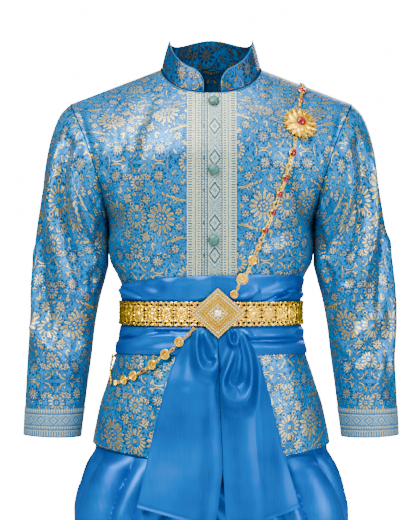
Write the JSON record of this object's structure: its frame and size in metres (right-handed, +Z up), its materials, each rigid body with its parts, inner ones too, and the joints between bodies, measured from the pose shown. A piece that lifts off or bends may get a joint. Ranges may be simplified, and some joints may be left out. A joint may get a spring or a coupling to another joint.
{
  "type": "thai men's costume set",
  "caption": "Thai men's costume: brocade jacket with stand collar, satin sash, plaque belt with buckle, shoulder chain with brooch, and wrapped satin lower garment.",
  "frame": {"origin": "the middle of the neck, at the height of the shoulder seams' inner ends, where the wearer carries the jacket", "axes": "+Z up, -Y out of the garment's front, +X toward the wearer's left"},
  "size_m": [0.597, 0.3341, 1.0395],
  "materials": {
    "brocade": "woven blue ground with pale gold thread",
    "collar_brocade": "darker blue brocade with dull gold thread",
    "satin": "glossy satin",
    "gilt": "polished gilt",
    "jade_button": "satin, textured",
    "ruby": "polished red stone",
    "clear_stone": "faceted clear stone"
  },
  "bodies": {
    "root": {"jacket_front_left": "brocade", "jacket_front_right": "brocade", "jacket_back": "brocade", "sleeve_left": "brocade", "sleeve_right": "brocade", "collar": "collar_brocade", "button_1": "jade_button", "button_2": "jade_button", "button_3": "jade_button", "sash_wrap": "satin", "sash_tail_left": "satin", "sash_tail_right": "satin", "belt": "gilt", "buckle": "gilt", "buckle_stone": "clear_stone", "chain_front": "gilt", "chain_lower": "gilt", "chain_back": "gilt", "brooch": "gilt", "brooch_stone": "ruby", "wrap_left": "satin", "wrap_right": "satin", "wrap_roll": "satin"}
  },
  "joints": []
}
